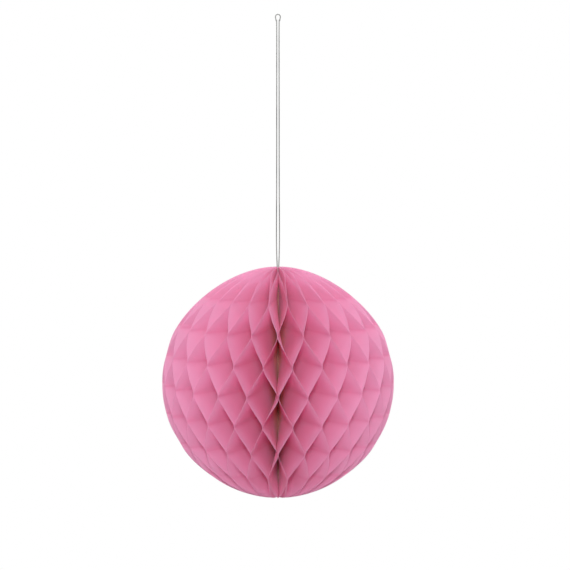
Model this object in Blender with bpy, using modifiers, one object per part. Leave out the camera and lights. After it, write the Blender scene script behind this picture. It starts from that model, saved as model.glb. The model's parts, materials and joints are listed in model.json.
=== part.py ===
"""Paper honeycomb ball, opened out and hanging from a doubled cord.

Forty-eight half-round tissue leaves stand like pages round an upright spine. Each leaf is glued
to its two neighbours along level strips at alternate heights, so the leaves pull into a
honeycomb when the fan is opened full circle. The first and the last leaf are glued to half-round
card covers, which meet back to back behind the ball and are held by three adhesive tabs.
A knotted cord loop comes out of the top of the spine.

Frame: metres, +Z up, origin at the top of the cord loop, where the ball hangs. The ball faces -Y,
and the seam between its covers is at +Y.
"""
from math import asin, cos, pi, sin, sqrt

import bmesh
import bpy
from mathutils import Vector

# Driving dimensions
BALL_RADIUS = 0.1016
LEAF_COUNT = 48
HALF_PITCHES = 8          # steps from one glue level to the next, from pole to pole
GLUE_STRIP_HEIGHT = 0.003
LEAF_THICKNESS = 0.00015
TOUCH_GAP = 0.0003        # air between pieces that touch
SPINE_HOLE_RADIUS = 0.004
CORD_RISE = 0.22          # from the top of the ball to the hanging point
CORD_DIAMETER = 0.001
STRAND_SPACING = 0.0021   # between the centres of the doubled strands
COVER_THICKNESS = 0.00035
COVER_SPINE_RADIUS = 0.0063
TAB_THICKNESS = 0.0001
TAB_GAP = 0.0002
TAB_WIDTH = 0.012
TAB_HEIGHT = 0.02
TAB_SPREAD = 0.05         # from the middle tab to the others
TAB_INSET = 0.004         # from the covers' round edge
KNOT_RADIUS = 0.002
KNOT_DEPTH = 0.004        # below the top of the ball

# Worked out from them
CENTRE_Z = -(CORD_RISE + BALL_RADIUS)
KNOT_Z = -(CORD_RISE + KNOT_DEPTH)
GLUE_PITCH = 2 * BALL_RADIUS / HALF_PITCHES
COVER_INNER_FACE = TAB_THICKNESS / 2 + TAB_GAP
COVER_OUTER_FACE = COVER_INNER_FACE + COVER_THICKNESS
SEAM_OFFSET = COVER_OUTER_FACE + TOUCH_GAP / 2      # the first and last glue columns' distance
GLUED_OFFSET = (LEAF_THICKNESS + TOUCH_GAP) / 2     # from a glue column to a leaf's middle
LEAF_TIP_WIDTH = 0.0016
LEAF_TOP = sqrt(BALL_RADIUS ** 2 - (SPINE_HOLE_RADIUS + LEAF_TIP_WIDTH) ** 2)
BEND_DEPTH = 0.011        # how far the loop's bend reaches down
BEND_RADIUS = 0.0021


def clear_scene():
    for old in list(bpy.data.objects):
        bpy.data.objects.remove(old, do_unlink=True)


def new_collection(name):
    collection = bpy.data.collections.new(name)
    bpy.context.scene.collection.children.link(collection)
    return collection


def make_material(name, colour, roughness, metallic=0.0):
    material = bpy.data.materials.new(name)
    material.use_nodes = True
    shader = material.node_tree.nodes["Principled BSDF"]
    shader.inputs["Base Color"].default_value = (*colour, 1.0)
    shader.inputs["Roughness"].default_value = roughness
    shader.inputs["Metallic"].default_value = metallic
    material.diffuse_color = (*colour, 1.0)
    return material


def place(name, data, collection, material, parent=None, location=(0, 0, 0)):
    piece = bpy.data.objects.new(name, data)
    piece.location = location
    piece.parent = parent
    data.materials.append(material)
    collection.objects.link(piece)
    return piece


def bearing_point(radius, bearing, height):
    """A point round the spine. A bearing of 0 is the seam, at +Y, and it grows towards -X."""
    return Vector((-radius * sin(bearing), radius * cos(bearing), height))


def column_bearing(column, radius):
    """The bearing of a glue column. Columns 0 and 48 lie on the covers, one each side of the seam."""
    seam = asin(SEAM_OFFSET / radius)
    return seam + column * (2 * pi - 2 * seam) / LEAF_COUNT


def glue_level(number):
    """The height of a glue level above the ball's centre. Levels -3 to 3 are glued, and -4 and 4
    would be the poles."""
    return number * GLUE_PITCH


def outline_radius(height):
    """How far the leaves and covers reach out: a half disc that hangs a little narrow-shouldered."""
    rise = height / BALL_RADIUS
    above = max(rise - 0.4, 0.0) / 0.48
    below = max(-rise - 0.55, 0.0) / 0.45
    return sqrt(BALL_RADIUS ** 2 - height ** 2) * (1 - 0.08 * above ** 1.6 - 0.045 * below ** 1.3)


def leaf_rows():
    """(height, share) of each row of a leaf. The share is 1 where the row is glued to the leaf's
    even column and 0 where it is glued to its odd column. Past the outermost levels it stays by
    the column it was last glued to."""
    last = HALF_PITCHES // 2
    rows = []
    for number in range(1 - last, last):
        on_even = 1.0 if number % 2 == 0 else 0.0
        for side in (-1, 1):
            rows.append((glue_level(number) + side * GLUE_STRIP_HEIGHT / 2, on_even))
    rows = [(-LEAF_TOP, rows[0][1]), *rows, (LEAF_TOP, rows[-1][1])]
    between = []
    for (low, low_share), (high, high_share) in zip(rows, rows[1:]):
        if high - low < 2 * GLUE_STRIP_HEIGHT:
            continue
        at_pole = max(-low, high) > glue_level(last - 1) + GLUE_STRIP_HEIGHT
        for step in (0.4, 0.7, 0.9) if at_pole else (0.5,):
            part = step if high > 0 else 1 - step
            height = low + (high - low) * part
            between.append((height, low_share + (high_share - low_share) * part))
    return sorted(rows + between)


def leaf_mesh(number):
    """A half-round sheet, ruled from the spine out, that zigzags between its two glue columns."""
    rows = leaf_rows()
    sheet = bmesh.new()
    bmesh.ops.create_grid(sheet, x_segments=1, y_segments=len(rows) - 1, size=1.0)
    even, odd = (number, number - 1) if number % 2 == 0 else (number - 1, number)
    for point in sheet.verts:
        height, share = rows[round((point.co.y + 1) / 2 * (len(rows) - 1))]
        radius = outline_radius(height) if point.co.x > 0 else SPINE_HOLE_RADIUS
        glued = asin(GLUED_OFFSET / radius)
        inward = 1 if even < odd else -1
        at_even = column_bearing(even, radius) + inward * glued
        at_odd = column_bearing(odd, radius) - inward * glued
        point.co = bearing_point(radius, at_odd + (at_even - at_odd) * share, height)
    bmesh.ops.recalc_face_normals(sheet, faces=sheet.faces)
    mesh = bpy.data.meshes.new(f"tissue_leaf_{number:02d}")
    sheet.to_mesh(mesh)
    sheet.free()
    return mesh


def make_leaf(number, collection, material, parent):
    mesh = leaf_mesh(number)
    leaf = place(mesh.name, mesh, collection, material, parent)
    solid = leaf.modifiers.new("sheet", "SOLIDIFY")
    solid.thickness = LEAF_THICKNESS
    solid.offset = 0.0
    return leaf


def half_round_outline(curve):
    """A half disc in the curve's XY plane, with its straight edge beside the spine."""
    steps = 32
    reach = asin((COVER_SPINE_RADIUS + 0.001) / BALL_RADIUS)
    turn = (pi - 2 * reach) / steps
    outline = []
    for index in range(steps + 1):
        height = BALL_RADIUS * cos(reach + index * turn)
        outline.append((outline_radius(height), height))
    corners = [(COVER_SPINE_RADIUS, -outline[0][1]), (COVER_SPINE_RADIUS, outline[0][1])]
    spline = curve.splines.new("POLY")
    spline.points.add(steps + 2)
    for point, (across, height) in zip(spline.points, outline + corners):
        point.co = (across, height, 0.0, 1.0)
    spline.use_cyclic_u = True


def make_cover(name, side, collection, material, parent):
    """A card half disc in a plane beside the seam. Side is -1 for left and 1 for right."""
    curve = bpy.data.curves.new(name, "CURVE")
    curve.dimensions = "2D"
    curve.fill_mode = "BOTH"
    curve.extrude = COVER_THICKNESS / 2
    half_round_outline(curve)
    cover = place(name, curve, collection, material, parent)
    cover.location.x = side * (COVER_INNER_FACE + COVER_THICKNESS / 2)
    cover.rotation_euler = (pi / 2, 0.0, pi / 2)
    return cover


def make_tab(name, height, collection, material, parent):
    """A strip of double-sided adhesive between the covers, near their round edge."""
    sheet = bmesh.new()
    bmesh.ops.create_cube(sheet, size=1.0)
    bmesh.ops.scale(sheet, vec=(TAB_THICKNESS, TAB_WIDTH, TAB_HEIGHT), verts=sheet.verts)
    mesh = bpy.data.meshes.new(name)
    sheet.to_mesh(mesh)
    sheet.free()
    corner = abs(height) + TAB_HEIGHT / 2
    reach = sqrt((BALL_RADIUS - TAB_INSET) ** 2 - corner ** 2) - TAB_WIDTH / 2
    return place(name, mesh, collection, material, parent, (0.0, reach, height))


def make_turned(name, profile, collection, material, parent=None, location=(0, 0, 0)):
    """A turned piece. The profile is (radius, height) points down its outer side."""
    mesh = bpy.data.meshes.new(name)
    points = [(radius, 0.0, height) for radius, height in profile]
    mesh.from_pydata(points, [(i, i + 1) for i in range(len(points) - 1)], [])
    piece = place(name, mesh, collection, material, parent, location)
    screw = piece.modifiers.new("turn", "SCREW")
    screw.steps = 24
    screw.render_steps = 24
    screw.use_merge_vertices = True
    screw.merge_threshold = 0.00001
    screw.use_smooth_shade = True
    return piece


def make_binding(collection, material, parent):
    """The glued and stitched spine that the leaves' straight edges are held by."""
    radius = SPINE_HOLE_RADIUS - TOUCH_GAP
    top = BALL_RADIUS - 2 * KNOT_DEPTH
    chamfer = 0.0006
    profile = [(0.0, top), (radius - chamfer, top), (radius, top - chamfer)]
    profile += [(r, -z) for r, z in reversed(profile)]
    return make_turned("spine_binding", profile, collection, material, parent)


def make_knot(collection, material):
    steps = 12
    profile = []
    for index in range(steps + 1):
        angle = pi * index / steps
        profile.append((KNOT_RADIUS * sin(angle), KNOT_RADIUS * cos(angle)))
    profile[0] = (0.0, KNOT_RADIUS)
    profile[-1] = (0.0, -KNOT_RADIUS)
    return make_turned("cord_knot", profile, collection, material, location=(0, 0, KNOT_Z))


def smooth_route(route, count):
    """Evenly numbered points on a smooth curve through a few points chosen by hand."""
    ends = [route[0] * 2 - route[1], *route, route[-1] * 2 - route[-2]]
    spans = len(route) - 1
    points = []
    for index in range(count):
        at = index * spans / (count - 1)
        span = min(int(at), spans - 1)
        t = at - span
        a, b, c, d = ends[span:span + 4]
        points.append(0.5 * (2 * b + (c - a) * t + (2 * a - 5 * b + 4 * c - d) * t * t
                             + (3 * b - a - 3 * c + d) * t ** 3))
    return points


def make_tube(name, points, collection, material):
    curve = bpy.data.curves.new(name, "CURVE")
    curve.dimensions = "3D"
    curve.bevel_depth = CORD_DIAMETER / 2
    curve.bevel_resolution = 2
    curve.use_fill_caps = True
    spline = curve.splines.new("POLY")
    spline.points.add(len(points) - 1)
    for point, place_at in zip(spline.points, points):
        point.co = (*place_at, 1.0)
    return place(name, curve, collection, material)


def make_bend(collection, material):
    """The top of the loop, which lies over whatever the ball hangs from."""
    half = STRAND_SPACING / 2
    crown = -CORD_DIAMETER / 2
    diagonal = BEND_RADIUS / sqrt(2)
    rise = [(half, -BEND_DEPTH), (0.0016, crown - 0.0054), (BEND_RADIUS, crown - BEND_RADIUS),
            (diagonal, crown - BEND_RADIUS + diagonal)]
    left = [Vector((-x, 0.0, z)) for x, z in rise]
    right = [Vector((x, 0.0, z)) for x, z in reversed(rise)]
    route = left + [Vector((0.0, 0.0, crown))] + right
    return make_tube("cord_loop_bend", smooth_route(route, 33), collection, material)


def make_strand(name, side, collection, material):
    """One half of the doubled cord, from the knot up to the loop's bend."""
    half = STRAND_SPACING / 2
    above_knot = KNOT_Z + KNOT_RADIUS + TOUCH_GAP
    pole = -CORD_RISE
    route = [Vector((side * x, y, z)) for x, y, z in (
        (0.0006, 0.0, above_knot), (0.0007, 0.0, pole + 0.001), (0.0011, 0.0001, pole + 0.012),
        (0.0013, 0.0001, pole + 0.03), (0.0011, 0.0, pole + 0.08), (half, 0.0, pole + 0.15),
        (half, 0.0, -BEND_DEPTH - TOUCH_GAP))]
    return make_tube(name, smooth_route(route, 39), collection, material)


def main():
    clear_scene()
    parts = new_collection("paper_honeycomb_ball")
    tissue = make_material("pink_tissue", (0.72, 0.19, 0.36), 0.7)
    card = make_material("pink_card", (0.68, 0.17, 0.33), 0.6)
    binding = make_material("spine_glue", (0.32, 0.13, 0.07), 0.75)
    nylon = make_material("white_nylon", (0.82, 0.83, 0.8), 0.3)
    adhesive = make_material("clear_adhesive", (0.85, 0.82, 0.74), 0.35)

    knot_pivot = bpy.data.objects.new("knot_pivot", None)
    knot_pivot.location = (0.0, 0.0, KNOT_Z)
    parts.objects.link(knot_pivot)
    centre = bpy.data.objects.new("ball_centre", None)
    centre.parent = knot_pivot
    centre.location = (0.0, 0.0, CENTRE_Z - KNOT_Z)
    parts.objects.link(centre)

    for number in range(1, LEAF_COUNT + 1):
        make_leaf(number, parts, tissue, centre)
    make_cover("cover_left", -1, parts, card, centre)
    make_cover("cover_right", 1, parts, card, centre)
    for name, height in (("seam_tab_top", TAB_SPREAD), ("seam_tab_middle", 0.0),
                         ("seam_tab_bottom", -TAB_SPREAD)):
        make_tab(name, height, parts, adhesive, centre)
    make_binding(parts, binding, centre)
    make_knot(parts, nylon)
    make_bend(parts, nylon)
    make_strand("cord_strand_left", -1, parts, nylon)
    make_strand("cord_strand_right", 1, parts, nylon)


main()
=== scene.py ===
"""Looks of the paper honeycomb ball: tissue leaves, card covers, glued spine, knotted nylon cord."""
import json
from math import atan, cos, pi, radians, sin, sqrt

import bpy
import numpy as np
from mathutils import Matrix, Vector


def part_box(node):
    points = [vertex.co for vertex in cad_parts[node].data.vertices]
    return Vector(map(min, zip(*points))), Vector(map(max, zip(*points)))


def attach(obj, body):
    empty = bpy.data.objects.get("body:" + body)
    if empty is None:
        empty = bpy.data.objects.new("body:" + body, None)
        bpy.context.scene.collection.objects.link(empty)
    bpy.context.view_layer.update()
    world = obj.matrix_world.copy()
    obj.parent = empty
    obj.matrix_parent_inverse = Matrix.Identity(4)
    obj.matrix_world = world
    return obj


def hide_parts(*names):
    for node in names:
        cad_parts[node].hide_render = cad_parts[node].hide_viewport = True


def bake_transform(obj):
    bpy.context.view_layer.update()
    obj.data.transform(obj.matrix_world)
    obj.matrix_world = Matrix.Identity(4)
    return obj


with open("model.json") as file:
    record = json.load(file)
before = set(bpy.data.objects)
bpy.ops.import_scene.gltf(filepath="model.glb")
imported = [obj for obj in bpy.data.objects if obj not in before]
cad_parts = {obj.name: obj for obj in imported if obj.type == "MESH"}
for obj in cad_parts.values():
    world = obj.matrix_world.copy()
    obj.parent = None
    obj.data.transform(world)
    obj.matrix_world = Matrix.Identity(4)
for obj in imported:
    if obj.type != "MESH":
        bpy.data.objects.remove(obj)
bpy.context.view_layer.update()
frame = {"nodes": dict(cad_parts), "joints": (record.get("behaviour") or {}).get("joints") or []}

SEED = 48

# The ball, from the frame
LEAVES = sorted(name for name in frame["nodes"] if name.startswith("tissue_leaf_"))
LEAF_COUNT = len(LEAVES)
SIDE_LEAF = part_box(LEAVES[LEAF_COUNT // 4 - 1])          # stands straight out to -X
BALL_RADIUS = -SIDE_LEAF[0].x
CENTRE_Z = (SIDE_LEAF[0].z + SIDE_LEAF[1].z) / 2
POLE_Z = CENTRE_Z + BALL_RADIUS
SPINE_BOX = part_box("spine_binding")
SPINE_RADIUS = SPINE_BOX[1].x
SPINE_TOP = SPINE_BOX[1].z - CENTRE_Z      # its ends stand as far above and below the centre
COVER_BOX = {side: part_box(f"cover_{side}") for side in ("left", "right")}
COVER_GLUED_FACE = COVER_BOX["right"][1].x      # the face that a leaf is glued to
COVER_SPINE_EDGE = COVER_BOX["right"][0].y
KNOT_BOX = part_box("cord_knot")
KNOT_CENTRE = (KNOT_BOX[0] + KNOT_BOX[1]) / 2
FOLD = radians(-next(j for j in frame["joints"] if j["name"] == "fan_fold")["range_deg"][0])

# The honeycomb
HALF_PITCHES = 8
LAST_LEVEL = HALF_PITCHES // 2 - 1     # glue levels count up and down from the ball's centre
GLUE_PITCH = 2 * BALL_RADIUS / HALF_PITCHES
GLUE_STRIP = 0.0036
GLUE_CURVE = 0.0015                # how softly the tissue leaves a glue strip
TISSUE = 0.0001                    # a leaf's thickness
GLUE_GAP = 0.00001
GLUED_OFFSET = TISSUE / 2 + GLUE_GAP
SEAM_OFFSET = COVER_GLUED_FACE + 2 * GLUE_GAP
LEAF_POLE_GAP = 0.0024             # how far short of the poles the leaves end, along their edge
LEAF_ROWS = 220
LEAF_STEPS = 14
COLUMN_STRAY = radians(0.3)        # how unevenly the columns stand
CREASE_DEPTH = 0.00009
SWAY = 0.04                        # the comb's sideways bow, in radians

# The cord
CORD_DIAMETER = 0.001
CORD_SIDES = 12
CORD_SPACING = 0.0004              # between the rings of its tube


# ---------------------------------------------------------------- node helpers

class Shader:
    """A material's node tree, built from the surface backwards with short calls."""

    def __init__(self, name, colour, roughness, **sockets):
        self.material = bpy.data.materials.new(name)
        self.material.use_nodes = True
        self.tree = self.material.node_tree
        self.surface = self.tree.nodes["Principled BSDF"]
        self.output = self.tree.nodes["Material Output"]
        self.surface.inputs["Base Color"].default_value = (*colour, 1.0)
        self.surface.inputs["Roughness"].default_value = roughness
        for socket, value in sockets.items():
            self.surface.inputs[socket.replace("_", " ")].default_value = value
        self.material.diffuse_color = (*colour, 1.0)

    def node(self, kind, inputs=None, **settings):
        new = self.tree.nodes.new("ShaderNode" + kind)
        for key, value in settings.items():
            setattr(new, key, value)
        for key, value in (inputs or {}).items():
            self.feed(new.inputs[key], value)
        return new

    def feed(self, socket, value):
        if isinstance(value, bpy.types.NodeSocket):
            self.tree.links.new(value, socket)
        else:
            socket.default_value = value

    def math(self, operation, *values):
        new = self.node("Math", operation=operation)
        for index, value in enumerate(values):
            self.feed(new.inputs[index], value)
        return new.outputs[0]

    def position(self):
        return self.node("TexCoord").outputs["Object"]

    def split(self, vector):
        return self.node("SeparateXYZ", {"Vector": vector}).outputs

    def stretched(self, vector, x, y, z):
        return self.node("Mapping", {"Vector": vector, "Scale": (x, y, z)}).outputs[0]

    def noise(self, vector, scale, detail=3.0, roughness=0.55):
        return self.node("TexNoise", {"Vector": vector, "Scale": scale, "Detail": detail,
                                      "Roughness": roughness}).outputs["Fac"]

    def ramp(self, value, low, high, to_low=0.0, to_high=1.0):
        return self.node("MapRange", {"Value": value, "From Min": low, "From Max": high,
                                      "To Min": to_low, "To Max": to_high}).outputs["Result"]

    def mix(self, share, first, second):
        new = self.node("Mix", data_type="RGBA")
        self.feed(new.inputs["Factor"], share)
        self.feed(new.inputs[6], first if hasattr(first, "type") else (*first, 1.0))
        self.feed(new.inputs[7], second if hasattr(second, "type") else (*second, 1.0))
        return new.outputs[2]

    def bump(self, height, distance, strength=1.0):
        new = self.node("Bump", {"Height": height, "Distance": distance, "Strength": strength})
        return new.outputs["Normal"]

    def set(self, **links):
        for socket, value in links.items():
            self.feed(self.surface.inputs[socket.replace("_", " ")], value)


# ---------------------------------------------------------------- materials

def tissue_material():
    """Dyed pink tissue with a slightly shiny face: long fibres, cloudy formation, glue strips that
    show through, painted warmer light deep in the cells, and painted brown shade near the spine."""
    s = Shader("pink_tissue", (0.92, 0.37, 0.62), 0.5, Specular_IOR_Level=0.35, Sheen_Weight=0.1,
               Sheen_Roughness=0.4, Coat_Weight=0.18, Coat_Roughness=0.3)
    at = s.position()
    x, y, z = s.split(at)
    height = s.math("SUBTRACT", z, CENTRE_Z)
    ragged_by, deep, shallow = 0.0012, 0.066, 0.03
    clouds = s.noise(at, 42.0, 4.0)
    fibres = s.noise(s.stretched(at, 1.0, 1.0, 0.22), 2600.0, 3.0, 0.7)
    level = s.math("DIVIDE", height, GLUE_PITCH)
    nearest = s.node("Clamp", {"Value": s.math("ROUND", level), "Min": float(-LAST_LEVEL),
                               "Max": float(LAST_LEVEL)}).outputs[0]
    off_level = s.math("ABSOLUTE", s.math("SUBTRACT", level, nearest))
    ragged = s.math("ADD", s.math("MULTIPLY", off_level, GLUE_PITCH),
                    s.math("MULTIPLY", s.math("SUBTRACT", s.noise(at, 420.0, 2.0), 0.5), ragged_by))
    glue = s.ramp(ragged, 0.0005, 0.0012, 1.0, 0.0)
    from_spine = s.math("SQRT", s.math("ADD", s.math("MULTIPLY", x, x), s.math("MULTIPLY", y, y)))
    from_middle = s.math("SQRT", s.math("ADD", s.math("MULTIPLY", from_spine, from_spine),
                                        s.math("MULTIPLY", height, height)))
    inside = s.ramp(from_middle, BALL_RADIUS - deep, BALL_RADIUS - shallow, 1.0, 0.0)
    # painted shade: a brownish tint within 18 to 34 mm of the spine, only deep inside the ball
    painted_deep_shade = s.math("MULTIPLY", s.ramp(from_spine, 0.018, 0.034, 1.0, 0.0), inside)
    colour = s.mix(s.ramp(clouds, 0.3, 0.7), (0.93, 0.4, 0.65), (0.95, 0.43, 0.68))
    colour = s.mix(s.ramp(fibres, 0.35, 0.75), colour, (0.95, 0.48, 0.72))
    colour = s.mix(s.math("MULTIPLY", glue, 0.3), colour, (0.86, 0.26, 0.52))
    # painted light: the tissue turns paler more than 30 mm inside the ball, so the deep cells look
    # brighter
    colour = s.mix(s.math("MULTIPLY", inside, 0.9), colour, (1.0, 0.52, 0.79))
    # painted shade: brownish tint deep in the cells near the spine
    colour = s.mix(s.math("MULTIPLY", painted_deep_shade, 0.85), colour, (1.0, 0.54, 0.44))
    rough = s.ramp(s.noise(at, 150.0, 2.0), 0.3, 0.7, 0.42, 0.58)
    relief = s.math("ADD", s.math("MULTIPLY", fibres, 0.4), s.noise(at, 380.0, 3.0))
    s.set(Base_Color=colour, Roughness=rough, Normal=s.bump(relief, 0.00005, 0.35))
    through = s.node("BsdfTranslucent", {"Color": s.mix(0.65, colour, (1.0, 0.72, 0.86))})
    both = s.node("MixShader", {0: 0.58, 1: s.surface.outputs[0], 2: through.outputs[0]})
    s.tree.links.new(both.outputs[0], s.output.inputs["Surface"])
    return s.material


def card_material():
    """Pink-faced card, with its pale core showing along the cut edge."""
    s = Shader("pink_card", (0.74, 0.17, 0.35), 0.55, Specular_IOR_Level=0.4)
    at = s.position()
    x, y, z = s.split(at)
    grain = s.noise(s.stretched(at, 1.0, 1.0, 0.4), 900.0, 4.0, 0.65)
    mottle = s.noise(at, 60.0, 3.0)
    height = s.math("SUBTRACT", z, CENTRE_Z)
    reach = s.math("SQRT", s.math("ADD", s.math("MULTIPLY", y, y),
                                  s.math("MULTIPLY", height, height)))
    cut_from, cut_to = BALL_RADIUS - 0.0004, BALL_RADIUS - 0.00015
    cut = s.ramp(reach, cut_from, cut_to)
    colour = s.mix(s.ramp(mottle, 0.3, 0.7), (0.7, 0.155, 0.33), (0.78, 0.19, 0.39))
    colour = s.mix(s.math("MULTIPLY", s.ramp(grain, 0.55, 0.8), 0.35), colour, (0.85, 0.42, 0.55))
    colour = s.mix(s.math("MULTIPLY", cut, 0.75), colour, (0.86, 0.62, 0.68))
    s.set(Base_Color=colour, Roughness=s.ramp(mottle, 0.2, 0.8, 0.48, 0.62),
          Normal=s.bump(grain, 0.00004, 0.4))
    return s.material


def glue_material():
    """Paper edges soaked in dried glue."""
    s = Shader("spine_glue", (0.44, 0.15, 0.09), 0.5, Specular_IOR_Level=0.45)
    at = s.position()
    streaks = s.noise(s.stretched(at, 1.0, 1.0, 0.08), 1500.0, 3.0, 0.6)
    blobs = s.noise(at, 240.0, 4.0, 0.6)
    colour = s.mix(s.ramp(streaks, 0.3, 0.7), (0.34, 0.11, 0.06), (0.52, 0.19, 0.12))
    colour = s.mix(s.math("MULTIPLY", s.ramp(blobs, 0.55, 0.8), 0.5), colour, (0.56, 0.17, 0.17))
    s.set(Base_Color=colour, Roughness=s.ramp(blobs, 0.3, 0.7, 0.35, 0.7),
          Normal=s.bump(s.math("ADD", streaks, blobs), 0.0002, 0.5))
    return s.material


def nylon_material():
    """Silvery nylon: smooth filaments with a soft shine over a grey body, and painted shine patches
    along it.
    """
    s = Shader("white_nylon", (0.22, 0.224, 0.212), 0.4, Specular_IOR_Level=0.45, Coat_Weight=0.12,
               Coat_Roughness=0.25)
    at = s.position()
    filaments = s.noise(s.stretched(at, 1.0, 1.0, 0.05), 9000.0, 2.0, 0.6)
    painted_shine = s.noise(s.stretched(at, 1.0, 1.0, 0.5), 55.0, 2.0)
    # painted highlight and shade: lighter and darker patches along the cord
    colour = s.mix(s.ramp(painted_shine, 0.4, 0.6), (0.11, 0.112, 0.106), (0.27, 0.274, 0.26))
    colour = s.mix(s.math("MULTIPLY", s.ramp(filaments, 0.5, 0.8), 0.3), colour, (0.15, 0.153, 0.14))
    s.set(Base_Color=colour, Roughness=s.ramp(filaments, 0.2, 0.8, 0.34, 0.5),
          Normal=s.bump(filaments, 0.00002, 0.3))
    return s.material


def adhesive_material():
    """Clear double-sided adhesive on a yellowish carrier."""
    s = Shader("clear_adhesive", (0.8, 0.74, 0.6), 0.3, Specular_IOR_Level=0.5, Coat_Weight=0.4)
    at = s.position()
    bubbles = s.noise(at, 600.0, 2.0)
    colour = s.mix(s.ramp(bubbles, 0.4, 0.65), (0.83, 0.77, 0.64), (0.72, 0.64, 0.48))
    s.set(Base_Color=colour, Roughness=s.ramp(bubbles, 0.3, 0.7, 0.2, 0.45),
          Normal=s.bump(bubbles, 0.00005, 0.5))
    return s.material


def floor_material():
    """A matt, very pale grey."""
    s = Shader("studio_floor", (0.8, 0.8, 0.8), 0.9)
    tone = s.noise(s.position(), 3.0, 2.0)
    s.set(Base_Color=s.mix(tone, (0.78, 0.78, 0.78), (0.82, 0.82, 0.82)))
    return s.material


# ---------------------------------------------------------------- mesh helpers

def mesh_object(name, points, faces, material):
    mesh = bpy.data.meshes.new(name)
    mesh.from_pydata([tuple(p) for p in points], [], [tuple(f) for f in faces])
    mesh.validate()
    mesh.materials.append(material)
    mesh.shade_smooth()
    piece = bpy.data.objects.new(name, mesh)
    bpy.context.scene.collection.objects.link(piece)
    return piece


def grid_faces(rows, columns, closed_columns=False):
    """Faces of a grid whose points are numbered row by row."""
    across = columns if closed_columns else columns - 1
    row, column = np.meshgrid(np.arange(rows - 1), np.arange(across), indexing="ij")
    beside = (column + 1) % columns
    quads = np.stack([row * columns + column, row * columns + beside,
                      (row + 1) * columns + beside, (row + 1) * columns + column], axis=-1)
    return quads.reshape(-1, 4)


def unit(v):
    return v / np.maximum(np.linalg.norm(v, axis=-1, keepdims=True), 1e-12)


def smooth_route(route, count):
    """Evenly numbered points on a smooth curve through a few given points."""
    ends = [route[0] * 2 - route[1], *route, route[-1] * 2 - route[-2]]
    spans = len(route) - 1
    points = []
    for index in range(count):
        at = index * spans / (count - 1)
        span = min(int(at), spans - 1)
        t = at - span
        a, b, c, d = ends[span:span + 4]
        points.append(0.5 * (2 * b + (c - a) * t + (2 * a - 5 * b + 4 * c - d) * t * t
                             + (3 * b - a - 3 * c + d) * t ** 3))
    return points


def even_route(points, spacing):
    """The same route, with points a fixed distance apart along it."""
    line = np.array(points, float)
    along = np.concatenate([[0.0], np.cumsum(np.linalg.norm(np.diff(line, axis=0), axis=1))])
    marks = np.linspace(0.0, along[-1], int(along[-1] / spacing) + 1)
    return np.stack([np.interp(marks, along, line[:, k]) for k in range(3)], axis=1)


def tube(name, line, radius_at, sides, material, closed=False):
    """A tube along a line. radius_at(angles, distance) gives the outline at each ring."""
    ahead = np.roll(line, -1, axis=0) - np.roll(line, 1, axis=0)
    if not closed:
        ahead[0], ahead[-1] = line[1] - line[0], line[-1] - line[-2]
    ahead = unit(ahead)
    side = unit(np.cross(ahead[0], (0.0, 1.0, 0.0)))
    steps = np.linalg.norm(np.diff(line, axis=0), axis=1)
    distance = np.concatenate([[0.0], np.cumsum(steps)])
    angles = np.linspace(0.0, 2 * pi, sides, endpoint=False)
    points = []
    for k, centre in enumerate(line):
        side = unit(side - ahead[k] * np.dot(side, ahead[k]))
        other = np.cross(ahead[k], side)
        radius = radius_at(angles, distance[k])[:, None]
        points.append(centre + radius * (np.cos(angles)[:, None] * side
                                         + np.sin(angles)[:, None] * other))
    points = np.concatenate(points)
    faces = [tuple(f) for f in grid_faces(len(line), sides, closed_columns=True)]
    last = (len(line) - 1) * sides
    if closed:
        faces += [(last + k, last + (k + 1) % sides, (k + 1) % sides, k) for k in range(sides)]
    else:
        faces += [tuple(range(sides - 1, -1, -1)), tuple(range(last, last + sides))]
    return mesh_object(name, points, faces, material)


# ---------------------------------------------------------------- leaves

class Columns:
    """The glue columns' bearings, with the small irregularities of a hand-opened ball. Bearings
    start at the seam, +Y, and grow towards -X."""

    def __init__(self):
        rng = np.random.default_rng(SEED)
        self.levels = np.arange(-LAST_LEVEL, LAST_LEVEL + 1)
        self.stray = rng.normal(0.0, COLUMN_STRAY, (LEAF_COUNT + 1, len(self.levels)))
        drift = np.sin(np.linspace(0.0, 6 * pi, LEAF_COUNT + 1)) * COLUMN_STRAY
        self.stray += drift[:, None]
        self.stray[[0, LEAF_COUNT]] = 0.0

    def seam(self, radius):
        """Half the gap that the covers take up. They don't reach all the way in to the spine."""
        return np.arcsin(SEAM_OFFSET / np.maximum(radius, COVER_SPINE_EDGE))

    def bearing(self, column, radius):
        return self.seam(radius) + column * (2 * pi - 2 * self.seam(radius)) / LEAF_COUNT

    def strays(self, column, height):
        """A column only holds its place at the levels where it is glued."""
        glued = (self.levels % 2) == (column % 2)
        return np.interp(height / GLUE_PITCH, self.levels[glued], self.stray[column][glued])

    def folded(self, column, radius):
        """A column's bearing once the fan is folded flat between the covers."""
        room = 2 * pi - LEAF_COUNT * FOLD
        pitch = (room - 2 * self.seam(radius)) / LEAF_COUNT
        return room / 2 + (column - LEAF_COUNT / 2) * pitch, pitch


def zigzag(height):
    """1 where a row is glued to the even column, 0 where it is glued to the odd one, with the
    tissue leaving each glue strip in a short curve. Past the last level each pair of leaves runs
    on together to the pole."""
    step, margin = 0.0001, 40
    fine = np.arange(-BALL_RADIUS, BALL_RADIUS, step)
    level = fine / GLUE_PITCH
    glued = np.clip(level, -LAST_LEVEL, LAST_LEVEL)
    off_even = np.abs(glued - 2 * np.round(glued / 2))
    strip = GLUE_STRIP / 2 / GLUE_PITCH
    share = 1.0 - np.clip((off_even - strip) / (1 - 2 * strip), 0.0, 1.0)
    beside = np.arange(-margin, margin + 1) * step
    kernel = np.exp(-(beside / GLUE_CURVE) ** 2 / 2)
    padded = np.pad(share, margin, mode="edge")
    return np.interp(height, fine, np.convolve(padded, kernel / kernel.sum(), "valid"))


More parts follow.
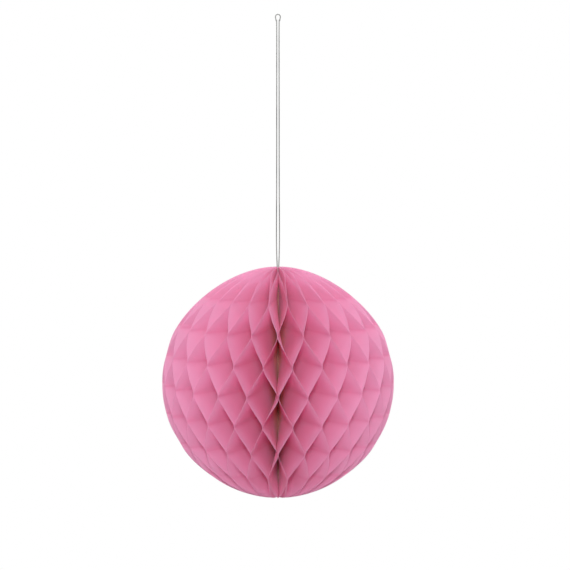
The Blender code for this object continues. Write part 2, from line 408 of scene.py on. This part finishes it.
def slack(radius, height):
    """How far the pairs spread again near the poles, where no glue holds them: partly at their
    edges, and nearly all the way further in, where they close round the knot."""
    edge_from, edge_over, edge_most = 0.72, 0.28, 0.6          # in ball radii, and a share
    inner_from, inner_over, inner_most = 0.77, 0.12, 0.95
    inner_radius, fades_over = 0.04, 0.024
    rise = np.abs(height) / BALL_RADIUS
    at_edges = edge_most * np.clip((rise - edge_from) / edge_over, 0.0, 1.0) ** 2
    further_in = np.clip((inner_radius - radius) / fades_over, 0.0, 1.0)
    further_in *= np.clip((rise - inner_from) / inner_over, 0.0, 1.0)
    return at_edges + (inner_most - at_edges) * further_in


def sway(bearing, radius, height):
    """A sideways bow of the whole comb, in radians. It is strongest about a third of the way out,
    and dies out at the axis, at the ball's surface and at the seam."""
    rise = height / BALL_RADIUS
    depth = np.sin(pi * np.clip(radius / outline(height), 0.0, 1.0) ** 0.6)
    wave = np.sin(3.4 * rise - 0.7) + 0.5 * np.sin(7.0 * rise + 3.0 * bearing)
    return SWAY * wave * depth * np.sin(bearing / 2) ** 2


def crumple(rng, radius, height):
    """Shallow creases and dimples, in metres off the sheet. They die out at the glue strips."""
    waves, dents = 9, 5
    dent_width, dent_length = 0.0025, 0.014
    flat_within = 0.008
    total = np.zeros_like(radius)
    for _ in range(waves):
        along = rng.normal(0.0, 1.0, 2)
        along /= np.hypot(*along)
        length = rng.uniform(0.012, 0.045)
        phase = rng.uniform(0.0, 2 * pi)
        turn = 2 * pi / length * (radius * along[0] + height * along[1]) + phase
        total += rng.uniform(0.4, 1.0) * np.sin(turn + 0.6 * np.sin(turn * 0.37 + phase))
    for _ in range(dents):
        at = rng.uniform(0.3, 1.0) * BALL_RADIUS, rng.uniform(-0.8, 0.8) * BALL_RADIUS
        lean = rng.uniform(-0.8, 0.8)
        across = (height - at[1]) * cos(lean) - (radius - at[0]) * sin(lean)
        beside = (radius - at[0]) * cos(lean) + (height - at[1]) * sin(lean)
        total += rng.choice((-2.0, 2.0)) * np.exp(-(across / dent_width) ** 2
                                                  - (beside / dent_length) ** 2)
    level = height / GLUE_PITCH
    off_level = np.abs(level - np.clip(np.round(level), -LAST_LEVEL, LAST_LEVEL))
    free = np.clip(off_level * GLUE_PITCH / flat_within, 0.0, 1.0) ** 2
    outward = np.clip((radius - SPINE_RADIUS) / BALL_RADIUS, 0.0, 1.0)
    return CREASE_DEPTH * total * free * outward


def outline(height):
    """How far the leaves and covers reach out: a half disc that hangs a little narrow-shouldered."""
    top_from, top_over, top_loss = 0.4, 0.48, 0.08             # in ball radii
    bottom_from, bottom_over, bottom_loss = 0.55, 0.45, 0.045
    rise = height / BALL_RADIUS
    above = np.clip(rise - top_from, 0.0, None) / top_over
    below = np.clip(-rise - bottom_from, 0.0, None) / bottom_over
    disc = np.sqrt(BALL_RADIUS ** 2 - height ** 2)
    return disc * (1 - top_loss * above ** 1.6 - bottom_loss * below ** 1.3)


def spine_side(height):
    """The radius of a leaf's inner edge: along the spine, then in past its ends, round the knot."""
    knot = KNOT_CENTRE.z - CENTRE_Z
    knot_radius = (KNOT_BOX[1].x - KNOT_BOX[0].x) / 2
    at_bottom, at_top, clearance = 0.0011, 0.0018, 0.00003
    marks = [-BALL_RADIUS, -SPINE_TOP - 0.001, -SPINE_TOP, SPINE_TOP, SPINE_TOP + 0.0015,
             knot + knot_radius, BALL_RADIUS]
    radii = [at_bottom, at_bottom, SPINE_RADIUS, SPINE_RADIUS, knot_radius + 0.0004,
             knot_radius + 0.0002, at_top]
    return np.interp(height, marks, radii) + clearance


def leaf_points(number, columns):
    """Both faces of a leaf as (points, blend shares), each numbered row by row."""
    rng = np.random.default_rng(SEED * 1000 + number)
    tip = pi / 2 - LEAF_POLE_GAP / BALL_RADIUS
    least_width, ripple_depth = 0.0002, 0.0012
    climb = np.linspace(-tip, tip, LEAF_ROWS)
    height = BALL_RADIUS * np.sin(climb)[:, None] * np.ones(LEAF_STEPS)
    edge = outline(height[:, :1])
    ripple = np.sin(climb * rng.uniform(5, 9) + rng.uniform(0, 6))[:, None]
    edge *= 1 + ripple_depth * ripple
    inner = np.minimum(spine_side(height[:, :1]), edge - least_width)
    out = np.linspace(0.0, 1.0, LEAF_STEPS) ** 0.8      # a little denser toward the outer edge
    radius = inner + (edge - inner) * out

    share = zigzag(height)
    share = share + (1 - share) * slack(radius, height)
    before, after = number - 1, number
    toward_after = share if after % 2 == 0 else 1 - share
    start = columns.bearing(before, radius) + columns.strays(before, height) * radius / BALL_RADIUS
    end = columns.bearing(after, radius) + columns.strays(after, height) * radius / BALL_RADIUS
    base = start + (end - start) * toward_after
    glued = GLUED_OFFSET / radius * (1 - 2 * toward_after)
    middle = base + glued + crumple(rng, radius, height) / radius

    def place(bearing):
        swayed = bearing + sway(bearing, radius, height)
        return np.stack([-radius * np.sin(swayed), radius * np.cos(swayed),
                         height + CENTRE_Z], axis=-1)

    sheet = place(middle)
    normal = unit(np.cross(np.gradient(sheet, axis=1), np.gradient(sheet, axis=0)))
    folded_before, pitch = columns.folded(before, radius)
    folded_base = folded_before + pitch * toward_after
    most_beside = 0.35 * pitch         # how far a fold lets a point stand off its sheet
    points, shares = [], []
    for side in (1, -1):
        face = sheet + side * TISSUE / 2 * normal
        bearing = np.arctan2(-face[..., 0], face[..., 1]) % (2 * pi)
        beside = np.clip(bearing - base, -most_beside, most_beside)
        share_of_fold = (bearing - folded_base - beside) / FOLD - before
        points.append(face.reshape(-1, 3))
        shares.append(np.clip(share_of_fold, 0.0, 1.0).reshape(-1))
    return np.concatenate(points), np.concatenate(shares)


def sheet_faces(rows, steps):
    """A closed thin sheet: its two faces and the rim between them."""
    front = grid_faces(rows, steps)
    count = rows * steps
    back = front[:, ::-1] + count
    rim = np.concatenate([
        np.arange(steps - 1), np.arange(steps - 1, count - 1, steps),
        np.arange(count - 1, count - steps, -1), np.arange(count - steps, 0, -steps)])
    following = np.roll(rim, -1)
    edge = np.stack([rim + count, following + count, following, rim], axis=-1)
    return np.concatenate([front, back, edge])


def make_leaf(number, columns, material):
    node = LEAVES[number - 1]
    points, shares = leaf_points(number, columns)
    leaf = mesh_object(f"leaf_sheet_{number:02d}", points, sheet_faces(LEAF_ROWS, LEAF_STEPS),
                       material)
    leaf.data.set_sharp_from_angle(angle=radians(60))
    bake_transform(leaf)
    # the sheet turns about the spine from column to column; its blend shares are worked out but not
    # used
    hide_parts(node)


# ---------------------------------------------------------------- covers, spine and knot

def make_cover(side, body, material):
    """A half-round card with softened edges."""
    low, high = COVER_BOX[side]
    sign = 1 if side == "right" else -1
    middle, thick = (low.x + high.x) / 2, high.x - low.x
    rows, steps = 150, 24
    bevel, edge_share = 0.0001, 0.45       # how deep the softened rim is, and how thick at its edge
    narrowest = 0.0012
    spine = low.y
    tip = np.arccos((spine + narrowest) / BALL_RADIUS)
    climb = np.linspace(-tip, tip, rows)
    height = BALL_RADIUS * np.sin(climb)[:, None] * np.ones(steps)
    edge = outline(height[:, :1])
    out = np.linspace(0.0, 1.0, steps)
    reach = spine + (edge - spine) * out
    from_sides = np.minimum(out, 1 - out) * (edge - spine)
    from_tips = (tip - np.abs(climb))[:, None] * BALL_RADIUS
    near_edge = np.minimum(from_sides, from_tips)
    thin = np.sqrt(np.clip(1 - (1 - np.clip(near_edge / bevel, 0, 1)) ** 2, 0, 1))
    half = thick / 2 * (edge_share + (1 - edge_share) * thin)
    points = []
    for face in (1, -1):
        across = middle + sign * face * half
        points.append(np.stack([across, reach, height + CENTRE_Z], axis=-1).reshape(-1, 3))
    faces = sheet_faces(rows, steps)
    if sign > 0:
        faces = faces[:, ::-1]
    cover = mesh_object(f"cover_card_{side}", np.concatenate(points), faces, material)
    cover.data.set_sharp_from_angle(angle=radians(40))
    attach(cover, body)
    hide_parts(f"cover_{side}")


def make_spine(material):
    """The leaves' bound edges: a ridge for each leaf, set in lumpy glue."""
    rng = np.random.default_rng(SEED + 2)
    low, high = SPINE_BOX
    rows, around = 160, LEAF_COUNT * 4
    angles = np.linspace(0.0, 2 * pi, around, endpoint=False)
    climb = np.linspace(0.0, 1.0, rows)[:, None]
    ridge = 0.5 + 0.5 * np.cos(angles * LEAF_COUNT)
    layers = 14
    lumps = np.zeros((rows, around))
    for _ in range(layers):
        turns, waves = rng.integers(1, 7), rng.uniform(2, 26)
        lumps += np.sin(angles * turns + waves * 2 * pi * climb + rng.uniform(0, 6)) / layers ** 0.5
    ends = np.sqrt(np.clip(1 - (np.abs(2 * climb - 1) ** 40), 0.0, 1.0))
    sunk, ridge_height, lump_height, end_radius = 0.00035, 0.00015, 0.0001, 0.0008
    surface = SPINE_RADIUS - sunk + ridge_height * ridge + lump_height * np.clip(lumps, -1.8, 1.8)
    radius = np.maximum(surface * ends, end_radius)
    points = np.stack([-radius * np.sin(angles), radius * np.cos(angles),
                       low.z + (high.z - low.z) * climb * np.ones(around)], axis=-1)
    faces = [tuple(f) for f in grid_faces(rows, around, closed_columns=True)[:, ::-1]]
    last = (rows - 1) * around
    faces += [tuple(range(around)), tuple(range(last + around - 1, last - 1, -1))]
    spine = mesh_object("spine_core", points.reshape(-1, 3), faces, material)
    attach(spine, "core")
    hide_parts("spine_binding")


def make_knot(material):
    """The cord's ends tied in an overhand knot, pulled tight."""
    rings, sides = 160, 18
    turns = np.linspace(0.0, 2 * pi, rings, endpoint=False)
    size = (KNOT_BOX[1].x - KNOT_BOX[0].x) / 2
    loop = np.stack([np.sin(turns) + 2 * np.sin(2 * turns), np.cos(turns) - 2 * np.cos(2 * turns),
                     -np.sin(3 * turns)], axis=1)
    room = size - CORD_DIAMETER * 0.45
    line = np.array(KNOT_CENTRE) + loop * np.array((room / 3, room / 3, room / 1.6))
    knot = tube("knot_wraps", line, strand_outline, sides, material, closed=True)
    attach(knot, "knot")
    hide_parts("cord_knot")
    return knot


# ---------------------------------------------------------------- cord

def strand_outline(angles, distance):
    """Three plies laid in a long, barely raised twist."""
    lay, plies, between_plies = 0.012, 3, 0.94
    lobes = np.abs(np.cos(plies / 2 * (angles - 2 * pi * distance / lay)))
    return CORD_DIAMETER / 2 * (between_plies + 0.06 * lobes)


def cord_route():
    """Up the left strand from the knot, over the bend at the hanging point, and down the right."""
    half, bend_radius, bend_depth = 0.00105, 0.0021, 0.011
    above_knot = KNOT_BOX[1].z + 0.0003
    crown = -CORD_DIAMETER / 2
    diagonal = bend_radius / sqrt(2)
    strand = [(0.0006, 0.0, above_knot), (0.0007, 0.0, POLE_Z + 0.001),
              (0.0011, 0.0001, POLE_Z + 0.012), (0.0013, 0.0001, POLE_Z + 0.03),
              (0.0011, 0.0, POLE_Z + 0.08), (half, 0.0, POLE_Z + 0.15), (half, 0.0, -bend_depth)]
    bend = [(0.0016, 0.0, crown - 0.0054), (bend_radius, 0.0, crown - bend_radius),
            (diagonal, 0.0, crown - bend_radius + diagonal)]
    left = [Vector((-x, y, z)) for x, y, z in strand + bend]
    right = [Vector((x, y, z)) for x, y, z in strand + bend]
    return left + [Vector((0.0, 0.0, crown))] + right[::-1]


def make_cord(material):
    """One run of cord from the knot, over the bend and back to the knot."""
    smooth_points = 900
    line = even_route(smooth_route(cord_route(), smooth_points), CORD_SPACING)
    cord = tube("cord_loop", line, strand_outline, CORD_SIDES, material)
    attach(cord, "cord")
    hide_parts("cord_strand_left", "cord_strand_right", "cord_loop_bend")


# ---------------------------------------------------------------- studio

def make_floor():
    """A round, pale floor well below the ball."""
    rings, around, reach, drop = 6, 48, 2.4, 1.4
    points = [(reach * ring / rings * cos(2 * pi * k / around),
               reach * ring / rings * sin(2 * pi * k / around), CENTRE_Z - drop)
              for ring in range(1, rings + 1) for k in range(around)]
    faces = [tuple(f) for f in grid_faces(rings, around, closed_columns=True)[:, ::-1]]
    floor = mesh_object("studio_floor", points, [tuple(range(around)), *faces], floor_material())


def make_world():
    """A white room that lights the ball more from overhead than from the sides."""
    world = bpy.data.worlds.new("studio")
    bpy.context.scene.world = world
    world.use_nodes = True
    tree = world.node_tree
    seen = tree.nodes["Background"]
    seen.inputs["Color"].default_value = (1.0, 1.0, 1.0, 1.0)
    seen.inputs["Strength"].default_value = 1.0
    lit = tree.nodes.new("ShaderNodeBackground")
    height = tree.nodes.new("ShaderNodeSeparateXYZ")
    tree.links.new(tree.nodes.new("ShaderNodeTexCoord").outputs["Generated"], height.inputs[0])
    shade = tree.nodes.new("ShaderNodeMapRange")
    tree.links.new(height.outputs["Z"], shade.inputs["Value"])
    for socket, value in zip(("From Min", "From Max", "To Min", "To Max"), (0.0, 1.0, 0.0, 1.1)):
        shade.inputs[socket].default_value = value
    tree.links.new(shade.outputs["Result"], lit.inputs["Strength"])
    both = tree.nodes.new("ShaderNodeMixShader")
    tree.links.new(tree.nodes.new("ShaderNodeLightPath").outputs["Is Camera Ray"], both.inputs[0])
    tree.links.new(lit.outputs[0], both.inputs[1])
    tree.links.new(seen.outputs[0], both.inputs[2])
    tree.links.new(both.outputs[0], tree.nodes["World Output"].inputs["Surface"])


def make_lights():
    """Soft lights all round, the main one beside the camera so that it reaches down the cells."""
    ball = Vector((0.0, 0.0, CENTRE_Z))
    for name, place, size, power in (("key", (-0.02, -3.0, 0.75), 0.4, 50.0),
                                     ("soft", (-0.1, -2.6, 1.6), 1.8, 9.0),
                                     ("top", (-0.2, -0.8, 2.0), 1.2, 8.0),
                                     ("back", (0.3, 2.9, 1.2), 1.4, 30.0),
                                     ("left", (-2.6, 0.3, 1.3), 1.0, 6.0),
                                     ("right", (2.6, 0.3, 1.3), 1.0, 6.0)):
        light = bpy.data.lights.new(name, "AREA")
        light.size = size
        light.energy = power
        lamp = bpy.data.objects.new(name, light)
        lamp.location = ball + Vector(place)
        lamp.rotation_euler = (ball - lamp.location).to_track_quat("-Z", "Y").to_euler()
        bpy.context.scene.collection.objects.link(lamp)


def make_camera():
    """The photographer's view: a long lens a little above the ball, with the ball low in frame."""
    distance, elevation = 2.2, radians(8.0)
    frame_height = 0.501                             # what the frame spans at the ball's distance
    below_centre, left_of_centre = 0.0853, 0.0062    # where the ball's centre is in it
    camera = bpy.data.cameras.new("camera")
    camera.sensor_width = 36.0
    camera.lens = camera.sensor_width * distance / frame_height
    camera.clip_start = 0.05
    view = bpy.data.objects.new("camera", camera)
    view.location = Vector((0.0, -distance * cos(elevation), CENTRE_Z + distance * sin(elevation)))
    tilt = elevation - atan(below_centre / distance)
    view.rotation_euler = (pi / 2 - tilt, 0.0, -atan(left_of_centre / distance))
    bpy.context.scene.collection.objects.link(view)
    bpy.context.scene.camera = view


# ---------------------------------------------------------------- the ball

def main():
    make_camera()
    nylon = nylon_material()
    knot = make_knot(nylon)
    make_cord(nylon)

    columns = Columns()
    tissue = tissue_material()
    make_spine(glue_material())
    for number in range(1, LEAF_COUNT + 1):
        make_leaf(number, columns, tissue)
    card = card_material()
    make_cover("left", "core", card)
    make_cover("right", f"leaf_{LEAF_COUNT:02d}", card)
    adhesive = adhesive_material()
    for name, node in frame["nodes"].items():
        if name.startswith("seam_tab_"):
            node.data.materials.clear()
            node.data.materials.append(adhesive)

    make_floor()
    make_world()
    make_lights()
    scene = bpy.context.scene
    scene.view_settings.view_transform = "Standard"
    scene.view_settings.gamma = 1.25
    scene.cycles.max_bounces = 24
    scene.cycles.diffuse_bounces = 16
    scene.cycles.transmission_bounces = 24


main()
